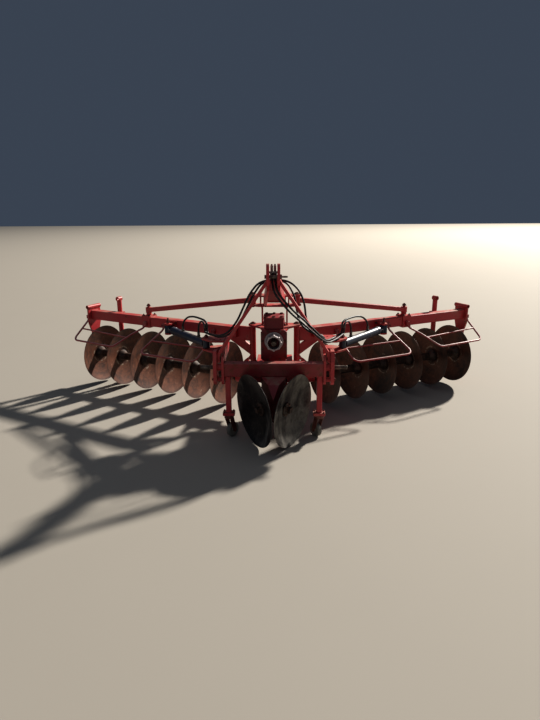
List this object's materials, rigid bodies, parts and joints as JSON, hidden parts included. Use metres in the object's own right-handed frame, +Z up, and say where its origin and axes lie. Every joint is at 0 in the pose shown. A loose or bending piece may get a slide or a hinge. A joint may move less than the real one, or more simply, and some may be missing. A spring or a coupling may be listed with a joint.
{
  "type": "mounted disc plough",
  "caption": "Mounted, shaft-driven disc plough with a mast headstock, swept wings that carry gangs of dished discs, and a pair of discs in front.",
  "frame": {"origin": "middle of the ground under the implement", "axes": "+X to the right of the front view, -Y towards the tractor, +Z up"},
  "size_m": [3.5812, 1.8424, 1.226],
  "materials": {
    "frame_paint": "faded satin",
    "case_paint": "faded satin",
    "pin_steel": "worn",
    "cast_guard": "cast, dull",
    "coupler_steel": "satin",
    "hose_rubber": "matte",
    "caster_steel": "worn satin",
    "wheel_rubber": "matte, dusty",
    "disc_steel": "rusty, matte",
    "muddy_steel": "dirty, matte",
    "spool_iron": "rusty, matte",
    "cylinder_paint": "satin",
    "rod_chrome": "polished"
  },
  "bodies": {
    "headstock": {"cross_tube": "frame_paint", "side_brackets": "frame_paint", "hitch_plates": "frame_paint", "hitch_pins": "pin_steel", "front_legs": "frame_paint", "mast_cheeks": "frame_paint", "top_link_pin": "pin_steel", "mast_cover": "frame_paint", "front_braces": "frame_paint", "stay_bracket": "frame_paint", "upper_hinge_plate": "frame_paint", "lower_hinge_plate": "frame_paint", "hinge_pins": "pin_steel", "side_rails": "frame_paint", "gearbox": "case_paint", "shaft_guard": "cast_guard", "drop_case": "case_paint", "gang_drive": "case_paint", "couplers": "coupler_steel", "hoses": "hose_rubber"},
    "power_shaft": {"power_shaft": "pin_steel"},
    "right_front_caster": {"right_front_caster_fork": "caster_steel"},
    "right_front_wheel": {"right_front_caster_wheel": "wheel_rubber"},
    "right_middle_disc": {"right_middle_disc": "muddy_steel", "right_middle_hub": "spool_iron"},
    "right_wing": {"right_beam": "frame_paint", "right_wing_bracket": "frame_paint", "right_end_plate": "frame_paint", "right_stay_bar": "frame_paint", "right_rear_post": "frame_paint", "right_inner_guard": "frame_paint", "right_outer_guard": "frame_paint"},
    "right_gang": {"right_gang_discs": "disc_steel", "right_gang_shaft": "spool_iron"},
    "right_rear_caster": {"right_rear_caster_fork": "caster_steel"},
    "right_rear_wheel": {"right_rear_caster_wheel": "wheel_rubber"},
    "right_barrel": {"right_cylinder_barrel": "cylinder_paint", "right_barrel_hoses": "hose_rubber"},
    "right_rod": {"right_cylinder_rod": "rod_chrome"},
    "left_front_caster": {"left_front_caster_fork": "caster_steel"},
    "left_front_wheel": {"left_front_caster_wheel": "wheel_rubber"},
    "left_middle_disc": {"left_middle_disc": "muddy_steel", "left_middle_hub": "spool_iron"},
    "left_wing": {"left_beam": "frame_paint", "left_wing_bracket": "frame_paint", "left_end_plate": "frame_paint", "left_stay_bar": "frame_paint", "left_rear_post": "frame_paint", "left_inner_guard": "frame_paint", "left_outer_guard": "frame_paint"},
    "left_gang": {"left_gang_discs": "disc_steel", "left_gang_shaft": "spool_iron"},
    "left_rear_caster": {"left_rear_caster_fork": "caster_steel"},
    "left_rear_wheel": {"left_rear_caster_wheel": "wheel_rubber"},
    "left_barrel": {"left_cylinder_barrel": "cylinder_paint", "left_barrel_hoses": "hose_rubber"},
    "left_rod": {"left_cylinder_rod": "rod_chrome"}
  },
  "joints": [
    {"name": "power_shaft_spin", "type": "hinge", "parent": "headstock", "child": "power_shaft", "pos_m": [0, -0.464, 0.675], "axis": [0, 1, 0], "continuous": true},
    {"name": "right_front_caster_swivel", "type": "hinge", "parent": "headstock", "child": "right_front_caster", "pos_m": [0.317, -0.544, 0.172], "axis": [0, 0, 1], "continuous": true},
    {"name": "right_front_wheel_spin", "type": "hinge", "parent": "right_front_caster", "child": "right_front_wheel", "pos_m": [0.2973, -0.51878, 0.052], "axis": [0.788, 0.6157, 0], "continuous": true},
    {"name": "right_middle_disc_spin", "type": "hinge", "parent": "headstock", "child": "right_middle_disc", "pos_m": [0, -0.62306, 0.2689], "axis": [0.8639, -0.4988, -0.0698], "continuous": true},
    {"name": "right_wing_swing", "type": "hinge", "parent": "headstock", "child": "right_wing", "pos_m": [0.168, -0.027, 0.5], "axis": [0, 0, 1], "range_deg": [0, 28]},
    {"name": "right_gang_spin", "type": "hinge", "parent": "right_wing", "child": "right_gang", "pos_m": [0.168, -0.027, 0.284], "axis": [0.891, 0.454, 0], "continuous": true},
    {"name": "right_rear_caster_swivel", "type": "hinge", "parent": "right_wing", "child": "right_rear_caster", "pos_m": [1.41036, 0.68458, 0.172], "axis": [0, 0, 1], "continuous": true},
    {"name": "right_rear_wheel_spin", "type": "hinge", "parent": "right_rear_caster", "child": "right_rear_wheel", "pos_m": [1.41577, 0.71001, 0.045], "axis": [0.9781, -0.2079, 0], "continuous": true},
    {"name": "right_barrel_swing", "type": "hinge", "parent": "headstock", "child": "right_barrel", "pos_m": [0.5, -0.254, 0.615], "axis": [0, 0, 1], "range_deg": [0, 27]},
    {"name": "right_rod_slide", "type": "slide", "parent": "right_barrel", "child": "right_rod", "axis": [0.617, 0.7869, 0], "range_m": [0, 0.195]},
    {"name": "left_front_caster_swivel", "type": "hinge", "parent": "headstock", "child": "left_front_caster", "pos_m": [-0.317, -0.544, 0.172], "axis": [0, 0, 1], "continuous": true},
    {"name": "left_front_wheel_spin", "type": "hinge", "parent": "left_front_caster", "child": "left_front_wheel", "pos_m": [-0.2973, -0.51878, 0.052], "axis": [-0.788, 0.6157, 0], "continuous": true},
    {"name": "left_middle_disc_spin", "type": "hinge", "parent": "headstock", "child": "left_middle_disc", "pos_m": [0, -0.62306, 0.2689], "axis": [-0.8639, -0.4988, -0.0698], "continuous": true},
    {"name": "left_wing_swing", "type": "hinge", "parent": "headstock", "child": "left_wing", "pos_m": [-0.168, -0.027, 0.5], "axis": [0, 0, -1], "range_deg": [0, 28]},
    {"name": "left_gang_spin", "type": "hinge", "parent": "left_wing", "child": "left_gang", "pos_m": [-0.168, -0.027, 0.284], "axis": [-0.891, 0.454, 0], "continuous": true},
    {"name": "left_rear_caster_swivel", "type": "hinge", "parent": "left_wing", "child": "left_rear_caster", "pos_m": [-1.41036, 0.68458, 0.172], "axis": [0, 0, 1], "continuous": true},
    {"name": "left_rear_wheel_spin", "type": "hinge", "parent": "left_rear_caster", "child": "left_rear_wheel", "pos_m": [-1.41577, 0.71001, 0.045], "axis": [-0.9781, -0.2079, 0], "continuous": true},
    {"name": "left_barrel_swing", "type": "hinge", "parent": "headstock", "child": "left_barrel", "pos_m": [-0.5, -0.254, 0.615], "axis": [0, 0, -1], "range_deg": [0, 27]},
    {"name": "left_rod_slide", "type": "slide", "parent": "left_barrel", "child": "left_rod", "axis": [-0.617, 0.7869, 0], "range_m": [0, 0.195]}
  ],
  "couplings": [
    {"joint": "right_barrel_swing", "follows": "right_wing_swing", "ratio": 0.9301},
    {"joint": "right_rod_slide", "follows": "right_wing_swing", "m_per_rad": 0.39583},
    {"joint": "left_barrel_swing", "follows": "left_wing_swing", "ratio": 0.9301},
    {"joint": "left_rod_slide", "follows": "left_wing_swing", "m_per_rad": 0.39583}
  ]
}
